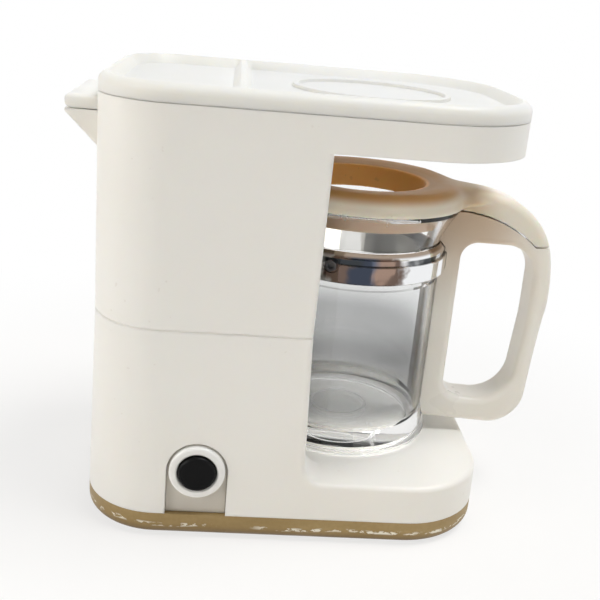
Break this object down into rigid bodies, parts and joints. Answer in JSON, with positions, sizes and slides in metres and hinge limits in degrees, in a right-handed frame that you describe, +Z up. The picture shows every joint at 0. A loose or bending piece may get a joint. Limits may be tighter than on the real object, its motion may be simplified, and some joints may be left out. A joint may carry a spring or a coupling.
{
  "type": "toy coffee maker",
  "caption": "Toy coffee maker: tower and overhanging head with a lift-up lid, a side push switch, a small water pump inside and a clear lidded jug in the bay.",
  "frame": {"origin": "on the table, under the middle of the tower and head", "axes": "+X to the front, where the jug handle points; +Z up; -Y is the side with the switch"},
  "size_m": [0.1285, 0.0796, 0.1109],
  "materials": {
    "cream": "satin",
    "jug_cream": "satin",
    "gold": "metallic paint",
    "gold_door": "metallic paint",
    "white": "gloss",
    "black": "gloss",
    "dark_plastic": "matte",
    "white_plastic": "matte",
    "steel": "bright",
    "brass": "plain",
    "cell": "gloss",
    "chrome": "mirror",
    "clear": "clear gloss",
    "soft": "soft"
  },
  "bodies": {
    "machine": {"base_plate": "gold", "base_screws": "steel", "battery_door": "gold_door", "battery_door_screw": "steel", "battery_frame": "dark_plastic", "batteries": "cell", "battery_contacts": "steel", "lower_housing": "cream", "switch_panel": "cream", "switch_bezel": "white", "switch_nut": "dark_plastic", "switch_body": "dark_plastic", "switch_terminals": "brass", "upper_housing": "cream", "housing_screws": "steel", "lid_hinge_pin": "steel", "pump_motor": "steel", "motor_cap": "white_plastic", "shaft_seal": "soft", "pump_volute": "dark_plastic", "pump_cover": "dark_plastic", "riser_tube": "soft", "drip_nozzle": "white_plastic"},
    "button": {"switch_button": "black"},
    "lid": {"top_lid": "cream"},
    "rotor": {"motor_shaft": "steel", "impeller": "dark_plastic"},
    "carafe": {"jug": "clear", "jug_band": "chrome", "band_screw": "steel", "jug_handle": "jug_cream"},
    "carafe_lid": {"jug_lid": "jug_cream"}
  },
  "joints": [
    {"name": "button_press", "type": "slide", "parent": "machine", "child": "button", "axis": [0, 1, 0], "range_m": [0, 0.0016], "stiffness_N_per_m": 300, "springref_m": -0.0005},
    {"name": "lid_hinge", "type": "hinge", "parent": "machine", "child": "lid", "pos_m": [-0.0584, 0, 0.1023], "axis": [0, -1, 0], "range_deg": [0, 95]},
    {"name": "pump_spin", "type": "hinge", "parent": "machine", "child": "rotor", "pos_m": [-0.032, 0, 0.0614], "axis": [0, 0, 1], "continuous": true},
    {"name": "jug_draw", "type": "slide", "parent": "machine", "child": "carafe", "axis": [1, 0, 0], "range_m": [0, 0.075]},
    {"name": "jug_lid_lift", "type": "slide", "parent": "carafe", "child": "carafe_lid", "axis": [0, 0, 1], "range_m": [0, 0.008]}
  ]
}
